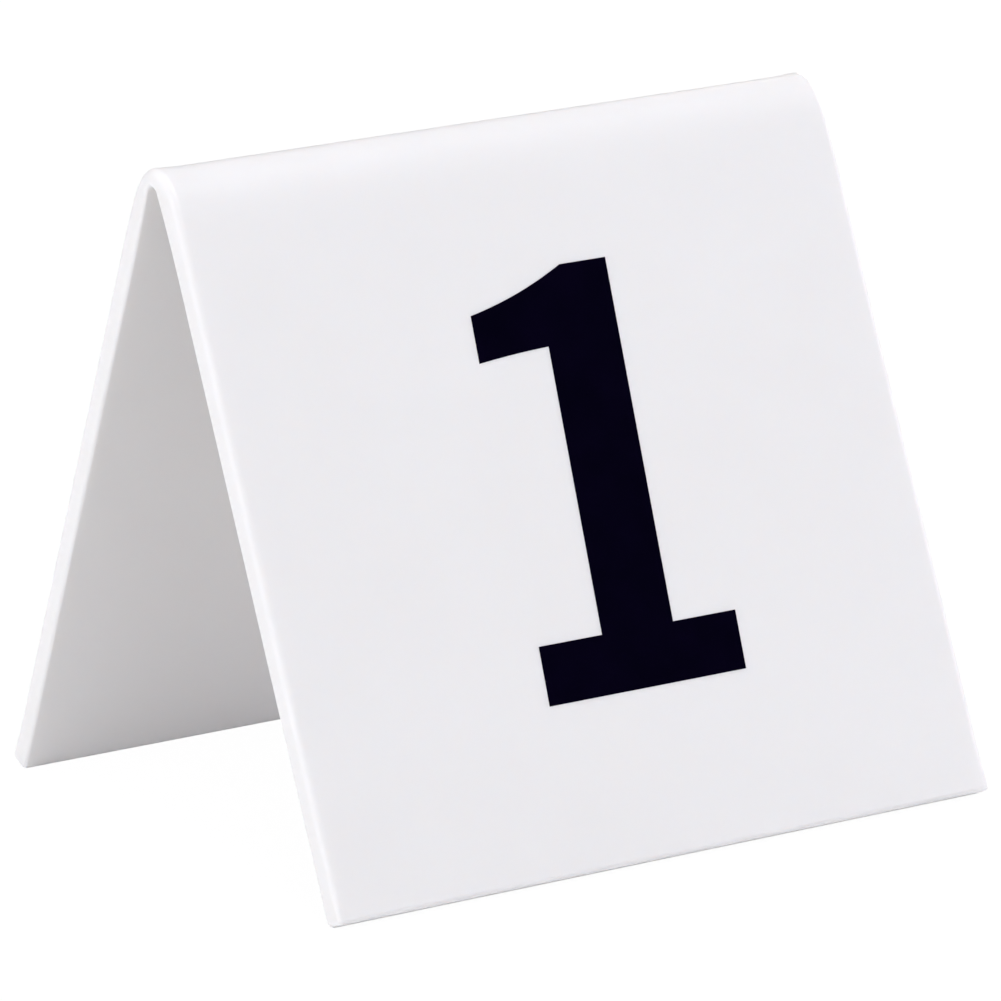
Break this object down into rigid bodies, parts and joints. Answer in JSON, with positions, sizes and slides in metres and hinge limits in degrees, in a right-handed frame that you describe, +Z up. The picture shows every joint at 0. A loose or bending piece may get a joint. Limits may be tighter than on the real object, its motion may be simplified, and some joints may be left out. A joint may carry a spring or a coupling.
{
  "type": "table number holder",
  "caption": "Free-standing tent of bent white plastic sheet with an open hollow under it and a black numeral 1 on each sloping face.",
  "frame": {"origin": "on the table, under the middle of the tent: the middle of the base of its bounding box", "axes": "+X along the ridge, to the right of someone facing the front numeral; -Y towards that person; +Z up"},
  "size_m": [0.0888, 0.0774, 0.0805],
  "materials": {
    "white_plastic": "smooth satin-gloss white plastic, the same colour right through, with dressed cut edges",
    "black_numeral": "flat, faintly blue black, smooth"
  },
  "bodies": {
    "root": {"tent_sheet": "white_plastic", "front_numeral": "black_numeral", "rear_numeral": "black_numeral"}
  },
  "joints": []
}
